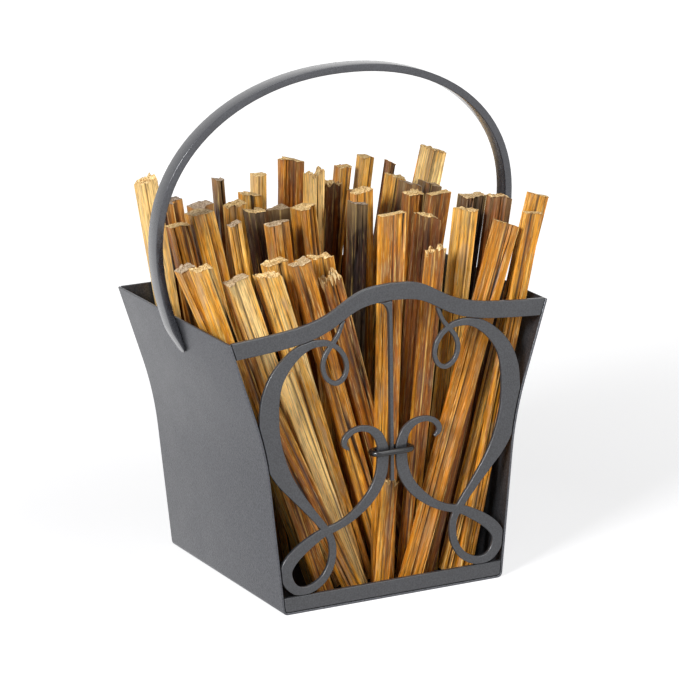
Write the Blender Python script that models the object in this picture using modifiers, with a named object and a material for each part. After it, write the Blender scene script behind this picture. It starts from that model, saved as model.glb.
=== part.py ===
"""Fatwood caddy: an open-fronted sheet steel bin with a scrollwork grille and an arched handle,
filled with split fatwood sticks that stand on its floor and lift out in two loads.

Metres, +Z up. X runs across the front, +Y runs to the back. The origin is the middle of the
bottom, on the surface that the caddy stands on.
"""
import math
import random

import bmesh
import bpy
from mathutils import Matrix, Vector

MM = 0.001

# Bin of bent sheet
RIM_HEIGHT = 0.152
DEPTH = 0.139
BOTTOM_HALF = 0.0660
KNEE_HEIGHT = 0.0907
KNEE_HALF = 0.0750
RIM_HALF = 0.0946
SHEET = 0.0012
CORNER_RADIUS = 0.003
KNEE_RADIUS = 0.190
CLEARANCE = 0.0003

# Front rails
RAIL_THICKNESS = 0.0025
TOP_RAIL_HEIGHT = 0.0094
TOP_RAIL_OVER_RIM = 0.0052
TOP_RAIL_RISE = 0.0158
TOP_RAIL_SHOULDER = 0.032
TOP_RAIL_FALL = 0.052
BOTTOM_RAIL_HEIGHT = 0.008

# Grille
SCROLL_THICKNESS = 0.0022
BAR_WIDTH = 0.0020
BAR_DEPTH = 0.0030
BAR_CLEARANCE = 0.0011
BAR_FLARE = 0.0062
BAR_DROP = 0.099
COLLAR_WIRE = 0.0035
COLLAR_PLAY = 0.0012
SCROLL_SIDE_GAP = 0.0012

# Handle of flat bar
HANDLE_WIDTH = 0.010
HANDLE_THICKNESS = 0.0042
HANDLE_SPRING = 0.194
HANDLE_HALF_SPAN = 0.1027
HANDLE_RISE = 0.0820
HANDLE_ROUNDNESS = 2.13
HANDLE_LAP = 0.0205
HANDLE_TIP_THICKNESS = 0.0010
HANDLE_TIP_RADIUS = 0.0042
HANDLE_LEAN = 0.109
HANDLE_BEND = 0.012

# Fatwood
STICK_LENGTH = 0.203
STICK_RINGS = 3
STICK_TAPER = 0.2
HEAD_LEVEL = 0.185
FOOT_LEFT = 0.66
FOOT_RIGHT = 0.80
LIFT_CLEARANCE = 0.0022
STICK_GAP = 0.0005
STICK_SEED = 41
MIDDLE_REACH = 0.89

# The rows of sticks from the front to the back, each stick from left to right as
# (foot, head, width, thickness, length): foot and head as shares of the way across the row,
# width as a share of the row's floor width, thickness of the row's depth, length of a full stick.
# Each row's last value is its share of the depth. The middle row stands under the handle.
FRONT_ROWS = (
    ("a", ((0.27, 0.03, 0.125, 0.95, 0.58), (0.42, 0.60, 0.114, 0.95, 0.31),
           (0.60, 0.875, 0.160, 0.95, 0.99), (0.97, 0.955, 0.113, 0.98, 0.99)), 7.2),
    ("b", ((0.11, 0.07, 0.120, 0.90, 0.77), (0.34, 0.15, 0.125, 0.95, 0.65),
           (0.48, 0.57, 0.135, 1.00, 1.01), (0.62, 0.70, 0.115, 0.98, 0.91),
           (0.75, 0.895, 0.109, 0.95, 0.95), (0.90, 0.98, 0.124, 0.98, 1.04)), 8.0),
    ("c", ((0.12, 0.06, 0.115, 0.88, 0.97), (0.27, 0.14, 0.146, 0.85, 0.92),
           (0.42, 0.23, 0.126, 0.92, 0.92), (0.57, 0.33, 0.113, 0.90, 0.93),
           (0.70, 0.40, 0.120, 0.85, 0.89), (0.83, 0.81, 0.109, 0.95, 0.99),
           (0.96, 0.90, 0.124, 0.90, 1.02)), 13.2),
    ("d", ((0.21, 0.04, 0.115, 0.85, 0.98), (0.36, 0.29, 0.126, 0.92, 0.91),
           (0.52, 0.42, 0.120, 0.90, 0.90), (0.70, 0.73, 0.130, 0.95, 0.97),
           (0.89, 0.86, 0.130, 0.85, 1.01)), 13.9),
)
MIDDLE_ROWS = (
    ("e", ((0.18, 0.26, 0.076, 0.90, 0.98), (0.35, 0.38, 0.135, 0.95, 0.96),
           (0.57, 0.61, 0.109, 0.92, 0.98), (0.80, 0.84, 0.130, 0.95, 0.99)), 9.7),
)
REAR_ROWS = (
    ("f", ((0.02, 0.13, 0.120, 0.75, 0.99), (0.20, 0.20, 0.137, 0.85, 1.02),
           (0.39, 0.35, 0.115, 0.75, 0.99), (0.56, 0.49, 0.120, 0.90, 0.98),
           (0.72, 0.65, 0.109, 0.80, 1.00), (0.89, 0.80, 0.109, 0.80, 0.98)), 15.1),
    ("g", ((0.10, 0.32, 0.115, 0.80, 0.99), (0.29, 0.44, 0.120, 0.75, 0.96),
           (0.47, 0.55, 0.087, 0.80, 1.05), (0.64, 0.68, 0.120, 0.85, 0.98),
           (0.83, 0.83, 0.109, 0.80, 0.99)), 15.1),
    ("h", ((0.05, 0.26, 0.115, 0.85, 0.98), (0.27, 0.40, 0.115, 0.80, 0.99),
           (0.55, 0.63, 0.109, 0.80, 1.00), (0.76, 0.82, 0.102, 0.80, 1.00),
           (0.92, 0.93, 0.109, 0.85, 0.97)), 15.1),
    ("j", ((-0.07, 0.15, 0.104, 0.80, 1.06), (0.045, 0.21, 0.113, 0.85, 0.99),
           (0.19, 0.35, 0.065, 0.55, 1.02), (0.30, 0.46, 0.070, 0.60, 1.02),
           (0.45, 0.55, 0.120, 0.90, 1.05), (0.59, 0.70, 0.074, 0.70, 1.02),
           (0.70, 0.76, 0.083, 0.70, 1.04), (0.79, 0.84, 0.065, 0.60, 1.02),
           (0.91, 0.96, 0.130, 0.90, 1.06)), 15.1),
)

# One scroll of the grille, on the right: (x, z, half width) in mm along the middle of the
# strip, from the cut tip under the top rail to the curl above the collar. It is drawn at its
# real size and then stretched so that it fits between the bar, the side and the two rails.
SCROLL_ROUTE = (
    (27.6, 158.0, 0.9), (30.9, 150.4, 1.15), (34.6, 145.5, 1.3), (38.4, 140.4, 1.3),
    (40.0, 134.2, 1.3), (38.0, 127.6, 1.3), (32.6, 124.0, 1.3), (27.8, 126.6, 1.3),
    (26.0, 132.4, 1.25), (27.6, 138.5, 1.3), (31.6, 143.6, 1.4), (37.5, 146.8, 1.7),
    (46.5, 147.2, 2.2), (54.5, 144.0, 3.0), (61.8, 137.8, 3.7), (67.6, 129.6, 4.5),
    (70.8, 119.5, 5.4), (71.6, 108.0, 5.8), (70.9, 97.0, 5.8), (68.2, 85.5, 5.75),
    (63.3, 75.0, 4.8), (56.3, 65.0, 3.4), (48.5, 55.0, 2.5), (41.2, 45.5, 2.15),
    (36.9, 38.0, 2.1), (35.9, 30.5, 2.1), (37.6, 22.5, 2.1), (42.5, 15.6, 2.2),
    (50.2, 11.7, 2.3), (57.3, 12.4, 2.6), (61.9, 17.2, 3.1), (63.5, 23.4, 3.6),
    (60.8, 28.9, 3.6), (55.5, 33.8, 3.4), (49.4, 37.9, 3.1), (41.0, 42.3, 2.5),
    (33.0, 44.4, 2.2), (24.5, 48.4, 2.4), (16.5, 54.6, 2.9), (10.2, 62.0, 3.2),
    (6.4, 71.0, 3.4), (5.4, 82.0, 3.3), (6.2, 87.0, 2.9), (8.7, 92.1, 2.6),
    (13.0, 95.6, 2.0), (18.8, 96.9, 1.6), (24.2, 95.6, 1.6), (27.8, 92.0, 1.65),
    (28.0, 88.6, 1.4), (25.4, 86.2, 0.6),
)
ROUTE_STEP = 0.0032
SMALL_LOOP_BOTTOM = 6
TOP_ARC = 12
WIDEST = 17
LARGE_LOOP_BOTTOM = 28
PINCH = 41


# Flat geometry

def offset_corners(corners, inset):
    """Corners of the open path moved to its left by inset, with mitred joints."""
    lines = []
    for start, end in zip(corners, corners[1:]):
        along = (Vector(end) - Vector(start)).normalized()
        left = Vector((-along.y, along.x))
        lines.append((Vector(start) + left * inset, along))
    moved = [lines[0][0]]
    for (start, along), (other, other_along) in zip(lines, lines[1:]):
        cross = along.x * other_along.y - along.y * other_along.x
        gap = other - start
        reach = (gap.x * other_along.y - gap.y * other_along.x) / cross
        moved.append(start + along * reach)
    last_start, last_along = lines[-1]
    reach = (Vector(corners[-1]) - last_start).dot(last_along)
    moved.append(last_start + last_along * reach)
    return moved


def filleted(corners, radii, steps):
    """Open path through the corners, with each inner corner turned into an arc."""
    path = [Vector(corners[0])]
    for index, (radius, count) in enumerate(zip(radii, steps)):
        before = Vector(corners[index])
        corner = Vector(corners[index + 1])
        after = Vector(corners[index + 2])
        inward = (before - corner).normalized()
        outward = (after - corner).normalized()
        half_angle = inward.angle(outward) / 2
        tangent = radius / math.tan(half_angle)
        centre = corner + (inward + outward).normalized() * (radius / math.sin(half_angle))
        first = corner + inward * tangent - centre
        last = corner + outward * tangent - centre
        turn = math.atan2(first.x * last.y - first.y * last.x, first.dot(last))
        for step in range(count + 1):
            path.append(centre + Matrix.Rotation(turn * step / count, 2) @ first)
    path.append(Vector(corners[-1]))
    return path


def wall_path(inset):
    """Right half of the bin's section, from the middle of the bottom up to the rim."""
    outer = [(0.0, 0.0), (BOTTOM_HALF, 0.0), (KNEE_HALF, KNEE_HEIGHT), (RIM_HALF, RIM_HEIGHT)]
    corners = offset_corners(outer, inset)
    return filleted(corners, (CORNER_RADIUS - inset, KNEE_RADIUS + inset), (6, 6))


def wall_half(height, inset):
    """Half width of the bin's section at a height, inset from its outer face."""
    path = wall_path(inset)
    for low, high in zip(path[1:], path[2:]):
        if high.y >= height:
            break
    share = (height - low.y) / (high.y - low.y)
    return low.x + (high.x - low.x) * share


def mirrored(path):
    """The whole symmetric path whose right half is given from the middle outwards."""
    left = [Vector((-point.x, point.y)) for point in reversed(path[1:])]
    return left + list(path)


def smooth_route(points, step):
    """Points about a step apart on the Catmull-Rom curve through the given vectors."""
    ends = [points[0] * 2 - points[1]] + list(points) + [points[-1] * 2 - points[-2]]
    route = []
    knots = []
    for before, start, end, after in zip(ends, ends[1:], ends[2:], ends[3:]):
        knots.append(len(route))
        count = max(2, round((end - start).length / step))
        for index in range(count):
            t = index / count
            route.append(0.5 * (2 * start + (end - before) * t
                                + (2 * before - 5 * start + 4 * end - after) * t ** 2
                                + (3 * start - before - 3 * end + after) * t ** 3))
    route.append(points[-1].copy())
    knots.append(len(route) - 1)
    return route, knots


def strip_sides(route):
    """Left and right edge of a flat strip whose points hold (x, z, half width)."""
    left = []
    right = []
    for index, point in enumerate(route):
        before = route[max(index - 1, 0)]
        after = route[min(index + 1, len(route) - 1)]
        along = Vector((after.x - before.x, after.y - before.y)).normalized()
        across = Vector((-along.y, along.x)) * point.z
        left.append(point.xy + across)
        right.append(point.xy - across)
    return left, right


# Blender objects

def collection(name):
    made = bpy.data.collections.new(name)
    bpy.context.scene.collection.children.link(made)
    return made


def material(name, colour, roughness, metallic):
    made = bpy.data.materials.new(name)
    made.use_nodes = True
    shader = made.node_tree.nodes["Principled BSDF"]
    shader.inputs["Base Color"].default_value = (*colour, 1.0)
    shader.inputs["Roughness"].default_value = roughness
    shader.inputs["Metallic"].default_value = metallic
    made.diffuse_color = (*colour, 1.0)
    return made


def add_object(name, data, home, finish=None):
    made = bpy.data.objects.new(name, data)
    home.objects.link(made)
    if finish:
        data.materials.append(finish)
    return made


def as_guide(guide):
    guide.hide_render = True
    guide.display_type = "WIRE"
    return guide


def flat_curve(outline, thickness):
    """Filled 2D curve round a closed outline, as thick as the plate."""
    curve = bpy.data.curves.new("outline", "CURVE")
    curve.dimensions = "2D"
    curve.fill_mode = "BOTH"
    curve.extrude = thickness / 2
    spline = curve.splines.new("POLY")
    spline.points.add(len(outline) - 1)
    for spline_point, point in zip(spline.points, outline):
        spline_point.co = (point[0], point[1], 0, 1)
    spline.use_cyclic_u = True
    return curve


def plate(name, outline, thickness, front, home, finish=None):
    """Upright plate cut to an (x, z) outline, its front face at y = front."""
    curve = flat_curve(outline, thickness)
    holder = add_object(name + "_outline", curve, home)
    holder.location = (0, front + thickness / 2, 0)
    holder.rotation_euler = (math.pi / 2, 0, 0)
    bpy.context.view_layer.update()
    evaluated = holder.evaluated_get(bpy.context.evaluated_depsgraph_get())
    mesh = bpy.data.meshes.new_from_object(evaluated)
    mesh.name = name
    weld_and_face_out(mesh)
    made = add_object(name, mesh, home, finish)
    made.matrix_world = holder.matrix_world.copy()
    bpy.data.objects.remove(holder)
    return made


def weld_and_face_out(mesh):
    bm = bmesh.new()
    bm.from_mesh(mesh)
    bmesh.ops.remove_doubles(bm, verts=bm.verts, dist=0.000001)
    bmesh.ops.recalc_face_normals(bm, faces=bm.faces)
    bm.to_mesh(mesh)
    bm.free()


def boolean(target, tool, operation):
    modifier = target.modifiers.new(operation.lower(), "BOOLEAN")
    modifier.operation = operation
    modifier.object = tool
    modifier.solver = "EXACT"
    return modifier


# The bin

def make_body_shell(home, finish):
    """Left side, bottom and right side, bent from one sheet."""
    bm = bmesh.new()
    front = -DEPTH / 2
    path = mirrored(wall_path(0))
    verts = [bm.verts.new((point.x, front, point.y)) for point in path]
    edges = [bm.edges.new(pair) for pair in zip(verts, verts[1:])]
    swept = bmesh.ops.extrude_edge_only(bm, edges=edges)["geom"]
    moved = [item for item in swept if isinstance(item, bmesh.types.BMVert)]
    bmesh.ops.translate(bm, verts=moved, vec=(0, DEPTH, 0))
    bmesh.ops.recalc_face_normals(bm, faces=bm.faces)
    bottom = min(bm.faces, key=lambda face: face.calc_center_median().z)
    if bottom.normal.z > 0:
        bmesh.ops.reverse_faces(bm, faces=bm.faces)
    mesh = bpy.data.meshes.new("body_shell")
    bm.to_mesh(mesh)
    bm.free()
    shell = add_object("body_shell", mesh, home, finish)
    wall = shell.modifiers.new("wall", "SOLIDIFY")
    wall.thickness = SHEET
    wall.offset = -1
    wall.use_even_offset = True
    return shell


def make_back_panel(home, finish):
    """Back sheet, set inside the bent sheet and flush with its rear edges."""
    outline = mirrored(wall_path(SHEET + CLEARANCE))
    return plate("back_panel", outline, SHEET, DEPTH / 2 - SHEET, home, finish)


# Front rails

def flare_x(height, inset):
    """Half width of the flared upper side, carried on above the rim."""
    slope = (RIM_HALF - KNEE_HALF) / (RIM_HEIGHT - KNEE_HEIGHT)
    return RIM_HALF - inset * math.sqrt(1 + slope ** 2) + (height - RIM_HEIGHT) * slope


def crest(x):
    """Height of the top rail's upper edge: a low hump that runs out nearly level."""
    hump = TOP_RAIL_RISE / (1 + (x / TOP_RAIL_SHOULDER) ** 4)
    return RIM_HEIGHT + TOP_RAIL_OVER_RIM - TOP_RAIL_FALL * abs(x) + hump


def rail_edge(drop, inset):
    """Right half of the rail's upper edge lowered by a drop, out to the flared side."""
    end = flare_x(crest(RIM_HALF) - drop, inset)
    count = 26
    return [Vector((end * step / count, crest(end * step / count) - drop)) for step in range(count + 1)]


def make_top_rail(home, finish):
    inset = SHEET + CLEARANCE
    upper = mirrored(rail_edge(0, inset))
    lower = mirrored(rail_edge(TOP_RAIL_HEIGHT, inset))
    return plate("top_rail", upper + lower[::-1], RAIL_THICKNESS, -DEPTH / 2, home, finish)


def bottom_rail_top():
    return SHEET + CLEARANCE + BOTTOM_RAIL_HEIGHT


def make_bottom_rail(home, finish):
    inset = SHEET + CLEARANCE
    height = bottom_rail_top()
    half = [point for point in wall_path(inset) if point.y < height]
    half.append(Vector((wall_half(height, inset), height)))
    return plate("bottom_rail", mirrored(half), RAIL_THICKNESS, -DEPTH / 2, home, finish)


# Grille

def window_outline():
    """What the rails and sides leave open, less the clearance to each."""
    inset = SHEET + 2 * CLEARANCE
    low = bottom_rail_top() + CLEARANCE
    upper = rail_edge(TOP_RAIL_HEIGHT + CLEARANCE, inset)
    sides = [point for point in wall_path(inset) if low < point.y < upper[-1].y]
    half = [Vector((0, low)), Vector((wall_half(low, inset), low))] + sides + upper[::-1]
    left = [Vector((-point.x, point.y)) for point in half[1:-1]]
    return half + left[::-1]


def grille_stretch():
    """Where the drawn scroll starts beside the bar, and how far it is stretched each way."""
    arc_x, arc_z, arc_half = SCROLL_ROUTE[TOP_ARC]
    loop_x, loop_z, loop_half = SCROLL_ROUTE[LARGE_LOOP_BOTTOM]
    wide_x, wide_z, wide_half = SCROLL_ROUTE[WIDEST]
    pinch_x, pinch_z, pinch_half = SCROLL_ROUTE[PINCH]
    start = BAR_WIDTH / 2 + BAR_CLEARANCE
    drawn_start = pinch_x - pinch_half
    low = bottom_rail_top() + CLEARANCE
    high = crest(arc_x * MM) - TOP_RAIL_HEIGHT - CLEARANCE
    drawn_low = loop_z - loop_half
    upward = (high - low) / (arc_z + arc_half - drawn_low)
    reach = wall_half(low + (wide_z - drawn_low) * upward, SHEET) - SCROLL_SIDE_GAP
    across = (reach - start) / (wide_x + wide_half - drawn_start)
    return start, drawn_start, across, low, drawn_low, upward


def scroll_points(side):
    """The drawn route of one scroll, stretched to the real window: (x, z, half width)."""
    start, drawn_start, across, low, drawn_low, upward = grille_stretch()
    points = []
    for x, z, half in SCROLL_ROUTE:
        points.append(Vector((side * (start + (x - drawn_start) * across),
                              low + (z - drawn_low) * upward, half * upward)))
    return points


def scroll_strips(side):
    """The scroll as three strips that share an end, so that none crosses itself."""
    route, knots = smooth_route(scroll_points(side), ROUTE_STEP)
    left, right = strip_sides(route)
    first = knots[SMALL_LOOP_BOTTOM]
    second = knots[LARGE_LOOP_BOTTOM]
    spans = ((0, first + 1), (first - 1, second + 1), (second - 1, len(route)))
    return [left[start:end] + right[start:end][::-1] for start, end in spans]


def make_scroll(name, side, home, guides, finish):
    front = -DEPTH / 2
    strips = scroll_strips(side)
    scroll = plate(name, strips[0], SCROLL_THICKNESS, front, home, finish)
    for number, strip in enumerate(strips[1:], 1):
        part = plate(f"{name}_strip_{number}", strip, SCROLL_THICKNESS, front, guides)
        boolean(scroll, as_guide(part), "UNION")
    window = plate(f"{name}_window", window_outline(), RAIL_THICKNESS * 2,
                   front - RAIL_THICKNESS / 2, guides)
    boolean(scroll, as_guide(window), "INTERSECT")
    return scroll


def make_center_bar(home, finish):
    """Flat bar on edge that hangs from the top rail, flared on one side at its top."""
    half = BAR_WIDTH / 2
    top = crest(0) - TOP_RAIL_HEIGHT - CLEARANCE
    flare_top = crest(half + BAR_FLARE) - TOP_RAIL_HEIGHT - CLEARANCE
    outline = [Vector((half, crest(half) - TOP_RAIL_HEIGHT - CLEARANCE)), Vector((0, top))]
    steps = 8
    for step in range(steps + 1):
        angle = math.pi / 2 * step / steps
        outline.append(Vector((-half - BAR_FLARE * (1 - math.sin(angle)),
                               flare_top - 1.3 * BAR_FLARE * (1 - math.cos(angle)))))
    bottom = crest(0) - TOP_RAIL_HEIGHT - BAR_DROP
    outline += [Vector((-half, bottom)), Vector((half, bottom))]
    return plate("center_bar", outline, BAR_DEPTH, -DEPTH / 2, home, finish)


def make_collar(home, finish):
    """Ring of round wire bent about the two scrolls and the bar where they meet."""
    pinch = scroll_points(1)[PINCH]
    reach = pinch.x + pinch.z + COLLAR_PLAY + COLLAR_WIRE / 2
    radius = (BAR_DEPTH + COLLAR_WIRE) / 2 + CLEARANCE
    curve = bpy.data.curves.new("collar", "CURVE")
    curve.dimensions = "3D"
    curve.bevel_depth = COLLAR_WIRE / 2
    curve.bevel_resolution = 2
    steps = 8
    spline = curve.splines.new("POLY")
    spline.points.add(2 * (steps + 1) - 1)
    index = 0
    for side in (1, -1):
        for step in range(steps + 1):
            angle = -math.pi / 2 + math.pi * step / steps
            x = side * (reach - radius + radius * math.cos(angle))
            y = side * radius * math.sin(angle)
            spline.points[index].co = (x, y, 0, 1)
            index += 1
    spline.use_cyclic_u = True
    collar = add_object("collar", curve, home, finish)
    collar.location = (0, -DEPTH / 2 + BAR_DEPTH / 2, pinch.y)
    return collar


# Handle

def handle_inner_edge():
    """Right half of the handle's inner edge, from the tip on the side up to the crown."""
    slope = (RIM_HALF - KNEE_HALF) / (RIM_HEIGHT - KNEE_HEIGHT)
    steps = 6
    edge = []
    for step in range(steps):
        height = RIM_HEIGHT - HANDLE_LAP * (1 - step / steps)
        edge.append(Vector((flare_x(height, -CLEARANCE), height)))
    fall = HANDLE_SPRING - RIM_HEIGHT
    drop = HANDLE_HALF_SPAN - flare_x(RIM_HEIGHT, -CLEARANCE)
    cubic = (slope * fall - 2 * drop) / fall ** 3
    square = (drop - cubic * fall ** 3) / fall ** 2
    steps = 10
    for step in range(steps):
        below = fall * (1 - step / steps)
        x = HANDLE_HALF_SPAN - square * below ** 2 - cubic * below ** 3
        edge.append(Vector((x, HANDLE_SPRING - below)))
    steps = 28
    for step in range(steps + 1):
        angle = math.pi / 2 * step / steps
        x = HANDLE_HALF_SPAN * math.cos(angle) ** (2 / HANDLE_ROUNDNESS)
        z = HANDLE_SPRING + HANDLE_RISE * math.sin(angle) ** (2 / HANDLE_ROUNDNESS)
        edge.append(Vector((x, z)))
    edge[-1].x = 0
    return edge


def arch_height(x):
    """Height of the arch's inner edge at a distance from the middle."""
    share = (x / HANDLE_HALF_SPAN) ** HANDLE_ROUNDNESS
    return HANDLE_SPRING + HANDLE_RISE * (1 - share) ** (1 / HANDLE_ROUNDNESS)


def handle_thickness(height):
    """Full above the rim, drawn down to a thin tip along the lower part of the lap."""
    tip = RIM_HEIGHT - HANDLE_LAP
    share = min(1.0, (height - tip) / (0.7 * HANDLE_LAP))
    return HANDLE_TIP_THICKNESS + (HANDLE_THICKNESS - HANDLE_TIP_THICKNESS) * share


def handle_lean(height):
    """How far the handle stands forward at a height: it is bent a little just above the rim."""
    above = max(0.0, height - RIM_HEIGHT)
    bent = min(above, HANDLE_BEND)
    return HANDLE_LEAN * (bent ** 2 / (2 * HANDLE_BEND) + above - bent)


def make_handle(home, finish):
    """One flat bar, bent to an arch, whose drawn-down ends lie on the bin's sides."""
    inner = handle_inner_edge()
    outer = []
    for index, point in enumerate(inner):
        before = inner[max(index - 1, 0)]
        after = inner[min(index + 1, len(inner) - 1)]
        along = (after - before).normalized()
        if index == len(inner) - 1:
            along = Vector((-1, 0))
        outer.append(point + Vector((along.y, -along.x)) * handle_thickness(point.y))
    inner_whole = mirrored(inner[::-1])
    outer_whole = mirrored(outer[::-1])
    handle = plate("handle", inner_whole + outer_whole[::-1], HANDLE_WIDTH,
                   -HANDLE_WIDTH / 2, home, finish)
    bm = bmesh.new()
    bm.from_mesh(handle.data)
    tip = RIM_HEIGHT - HANDLE_LAP
    ends = []
    for edge in bm.edges:
        low, high = (vert.co for vert in edge.verts)
        across = abs(low.z - high.z) < 0.00001
        if across and max(low.y, high.y) < tip + HANDLE_TIP_THICKNESS:
            if abs(low.x - high.x) > HANDLE_TIP_THICKNESS / 2:
                ends.append(edge)
    bmesh.ops.bevel(bm, geom=ends, offset=HANDLE_TIP_RADIUS, segments=4, profile=0.5,
                    affect="EDGES", clamp_overlap=False)
    for vert in bm.verts:
        vert.co.z += handle_lean(vert.co.y)
    bm.to_mesh(handle.data)
    bm.free()
    return handle


# Fatwood

def row_limits():
    """Left and right limits of a row's stick edges on the floor and at the head level."""
    flat = BOTTOM_HALF - CORNER_RADIUS
    limit = wall_half(KNEE_HEIGHT, SHEET) - 2 * STICK_GAP
    climb = HEAD_LEVEL / KNEE_HEIGHT
    foot_left = -FOOT_LEFT * flat
    foot_right = FOOT_RIGHT * flat
    head_left = foot_left + (-limit - foot_left) * climb
    head_right = foot_right + (limit - foot_right) * climb
    return foot_left, foot_right, head_left, head_right


def stick_section(width, thickness, dice):
    """Corners round a split stick: a block with a ledge along its front and along its back."""
    corners = []
    for face in (-1, 1):
        ledge = dice.uniform(0.10, 0.17) * thickness
        drops = dice.choice(((0, ledge), (ledge, 0)))
        middle = dice.uniform(-0.22, 0.22) * width
        riser = dice.uniform(0.02, 0.06) * width
        left = -dice.uniform(0.45, 0.5) * width
        right = dice.uniform(0.45, 0.5) * width
        for x, drop in ((left, drops[0]), (middle - riser, drops[0]),
                        (middle + riser, drops[1]), (right, drops[1])):
            corners.append((-face * x, face * (thickness / 2 - drop)))
    return corners


def stick_mesh(name, width, thickness, length, dice):
    """Split stick: a long block with ledges, wider at its head, whose corners wander a little."""
    bm = bmesh.new()
    section = stick_section(width, thickness, dice)
    slant = dice.uniform(-0.3, 0.3)
    rings = []
    for step in range(STICK_RINGS + 1):
        share = step / STICK_RINGS
        spread = 1 + STICK_TAPER * share
        ring = []
        for x, y in section:
            place = Vector((x * spread * dice.uniform(0.96, 1.0), y * dice.uniform(0.95, 1.0),
                            share * length))
            if step == STICK_RINGS:
                place.z += slant * x - dice.uniform(0.05, 0.2) * thickness
            ring.append(bm.verts.new(place))
        rings.append(ring)
    for low, high in zip(rings, rings[1:]):
        for index in range(len(section)):
            after = (index + 1) % len(section)
            bm.faces.new((low[index], low[after], high[after], high[index]))
    ends = [bm.faces.new(rings[0][::-1]), bm.faces.new(rings[-1])]
    bmesh.ops.triangulate(bm, faces=ends)
    mesh = bpy.data.meshes.new(name)
    bm.to_mesh(mesh)
    bm.free()
    return mesh


def stand_stick(stick, foot_x, head_x, middle_y, tilt):
    """Stands a stick on the floor, leaning from its foot towards its head."""
    lean = math.atan2(head_x - foot_x, HEAD_LEVEL)
    stick.rotation_euler = (tilt, lean, 0)
    turn = stick.rotation_euler.to_matrix()
    places = [turn @ vert.co for vert in stick.data.vertices]
    rise = SHEET + CLEARANCE - min(place.z for place in places)
    low_y = min(place.y for place in places)
    high_y = max(place.y for place in places)
    stick.location = (foot_x + math.tan(lean) * rise, middle_y - (low_y + high_y) / 2, rise)


def fill_row(name, sticks, low_y, high_y, home, finishes, dice):
    """One row of sticks across the bin, each given as shares of the row's limits."""
    foot_left, foot_right, head_left, head_right = row_limits()
    span = foot_right - foot_left
    room = high_y - low_y - 2 * STICK_GAP
    for number, (foot, head, width, thickness, length) in enumerate(sticks, 1):
        foot_x = foot_left + foot * span
        head_x = head_left + head * (head_right - head_left)
        lean = math.atan2(head_x - foot_x, HEAD_LEVEL)
        deep = thickness * room
        long = length * STICK_LENGTH
        node = f"{name}_{number}"
        mesh = stick_mesh(node, width * span * math.cos(lean) - STICK_GAP, deep, long, dice)
        stick = add_object(node, mesh, home, finishes[dice.randrange(len(finishes))])
        spare = (room - deep) / 2
        tilt = dice.uniform(-0.8, 0.8) * spare / long
        stand_stick(stick, foot_x, head_x, (low_y + high_y) / 2, tilt)


def fill_space(load, rows, low_y, high_y, home, finishes, dice):
    """Rows one behind the other, each with its share of the depth."""
    unit = (high_y - low_y) / sum(depth for name, sticks, depth in rows)
    for name, sticks, depth in rows:
        fill_row(f"fatwood_{load}_{name}", sticks, low_y, low_y + depth * unit, home, finishes, dice)
        low_y += depth * unit


def make_fatwood(home, finishes):
    """Rows of sticks in front of the handle and behind it, so that both loads lift past it."""
    dice = random.Random(STICK_SEED)
    collar_back = -DEPTH / 2 + BAR_DEPTH + CLEARANCE + COLLAR_WIRE
    lane = HANDLE_WIDTH / 2 + LIFT_CLEARANCE
    crown = HANDLE_SPRING + HANDLE_RISE + HANDLE_THICKNESS
    fill_space("front", FRONT_ROWS, collar_back + STICK_GAP, -lane - handle_lean(crown),
               home, finishes, dice)
    arch = arch_height(MIDDLE_REACH * RIM_HALF)
    fill_space("rear", MIDDLE_ROWS, lane - handle_lean(arch), lane, home, finishes, dice)
    fill_space("rear", REAR_ROWS, lane, DEPTH / 2 - SHEET - STICK_GAP, home, finishes, dice)


def main():
    for item in list(bpy.context.scene.objects):
        bpy.data.objects.remove(item)
    parts = collection("fatwood_caddy")
    guides = collection("cutters")
    steel = material("painted_steel", (0.075, 0.077, 0.083), 0.5, 0.2)
    grille_steel = material("painted_grille", (0.085, 0.086, 0.092), 0.5, 0.2)
    gloss_steel = material("painted_collar", (0.03, 0.03, 0.033), 0.28, 0.2)
    make_body_shell(parts, steel)
    make_back_panel(parts, steel)
    make_top_rail(parts, grille_steel)
    make_bottom_rail(parts, grille_steel)
    make_scroll("scroll_left", -1, parts, guides, grille_steel)
    make_scroll("scroll_right", 1, parts, guides, grille_steel)
    make_center_bar(parts, grille_steel)
    make_collar(parts, gloss_steel)
    make_handle(parts, steel)
    make_fatwood(parts, [material("fatwood_pale", (0.72, 0.50, 0.26), 0.6, 0.0),
                         material("fatwood_golden", (0.62, 0.33, 0.10), 0.55, 0.0),
                         material("fatwood_amber", (0.45, 0.20, 0.06), 0.5, 0.0),
                         material("fatwood_dark", (0.22, 0.10, 0.05), 0.55, 0.0)])


main()
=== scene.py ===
"""Looks of the fatwood caddy: textured paint on bent steel, and split sticks of resin pine."""

import math
import random
from functools import partial

import bmesh
import bpy
from mathutils import Matrix, Vector


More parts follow.
